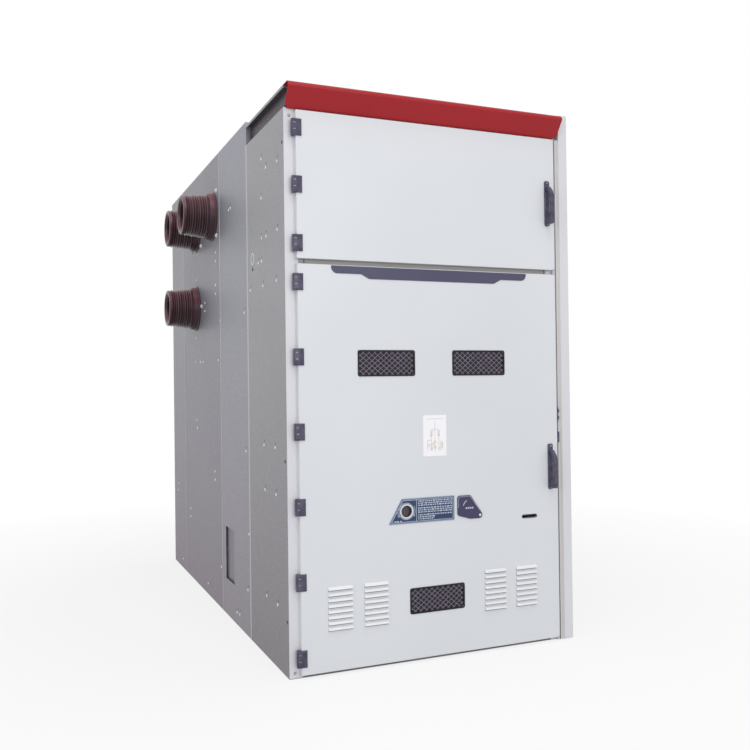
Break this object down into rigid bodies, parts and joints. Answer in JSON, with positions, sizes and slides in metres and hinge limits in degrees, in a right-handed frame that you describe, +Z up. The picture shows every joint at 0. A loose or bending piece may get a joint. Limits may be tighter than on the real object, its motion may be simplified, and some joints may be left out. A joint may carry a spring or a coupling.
{
  "type": "air-insulated switchgear cabinet",
  "caption": "Metal-clad switchgear cabinet with hinged instrument and breaker doors, ribbed busbar bushings, louvres and windows.",
  "frame": {"origin": "middle of the body's footprint, on the floor plate's underside", "axes": "+Z up, the doors face -Y, +X to the right of someone facing the doors"},
  "size_m": [1.644, 2.881, 2.6],
  "materials": {
    "resin": "cast epoxy resin, deep red-brown, semi-gloss",
    "header_red": "red powder coat, semi-gloss",
    "light_grey_paint": "light grey powder coat, fine texture",
    "dark_grey_paint": "dark grey-brown paint",
    "hardware_violet_grey": "die-cast zinc, violet-grey coat",
    "strip_violet_grey": "violet-grey strip",
    "plate_blue": "dark blue printed plate with pale border",
    "bright_metal": "bright plated steel",
    "black_rubber": "black rubber profile",
    "pane": "toughened glass",
    "card": "white card",
    "galvanised_steel": "aluminium-zinc coated sheet, matt"
  },
  "bodies": {
    "cabinet": {"bushing_lower": "resin", "bushing_upper_front": "resin", "bushing_upper_rear": "resin", "cable_window_tray": "galvanised_steel", "compartment_deck": "galvanised_steel", "duct_floor": "galvanised_steel", "end_cover": "light_grey_paint", "floor_plate": "galvanised_steel", "frame_hinges": "hardware_violet_grey", "front_posts": "light_grey_paint", "front_roof_plate": "galvanised_steel", "front_sill": "dark_grey_paint", "guide_rails": "galvanised_steel", "header": "header_red", "left_busbar_panel": "galvanised_steel", "left_front_panel": "galvanised_steel", "left_middle_panel": "galvanised_steel", "left_rear_panel": "galvanised_steel", "lock_keepers": "hardware_violet_grey", "middle_rail": "dark_grey_paint", "mounting_plate": "galvanised_steel", "partitions": "galvanised_steel", "rear_covers": "light_grey_paint", "rear_frame": "galvanised_steel", "rear_roof_plate": "galvanised_steel", "relief_covers": "galvanised_steel", "right_side_panels": "galvanised_steel", "shutters": "galvanised_steel", "top_rail": "light_grey_paint"},
    "upper_door": {"upper_door": "light_grey_paint", "upper_door_hinges": "hardware_violet_grey", "upper_handle_base": "hardware_violet_grey"},
    "lower_door": {"lower_door": "light_grey_paint", "lower_door_hinges": "hardware_violet_grey", "lower_handle_base": "hardware_violet_grey", "window_rims": "black_rubber", "window_panes": "pane", "name_strip": "strip_violet_grey", "operating_plate": "plate_blue", "crank_ring": "bright_metal", "diagram_card": "card", "flap_rivet": "bright_metal"},
    "upper_handle": {"upper_handle_lever": "hardware_violet_grey"},
    "lower_handle": {"lower_handle_lever": "hardware_violet_grey"},
    "hole_flap": {"hole_flap": "hardware_violet_grey"}
  },
  "joints": [
    {"name": "upper_door_hinge", "type": "hinge", "parent": "cabinet", "child": "upper_door", "pos_m": [-0.663, -1.417, 2.14], "axis": [0, 0, -1], "range_deg": [0, 110]},
    {"name": "lower_door_hinge", "type": "hinge", "parent": "cabinet", "child": "lower_door", "pos_m": [-0.663, -1.417, 0.9], "axis": [0, 0, -1], "range_deg": [0, 110]},
    {"name": "upper_handle_turn", "type": "hinge", "parent": "upper_door", "child": "upper_handle", "pos_m": [0.633, -1.44, 2.064], "axis": [0, -1, 0], "range_deg": [0, 90]},
    {"name": "lower_handle_turn", "type": "hinge", "parent": "lower_door", "child": "lower_handle", "pos_m": [0.633, -1.44, 0.775], "axis": [0, -1, 0], "range_deg": [0, 90]},
    {"name": "hole_flap_turn", "type": "hinge", "parent": "lower_door", "child": "hole_flap", "pos_m": [0.233, -1.43, 0.65], "axis": [0, 1, 0], "range_deg": [0, 100]}
  ]
}
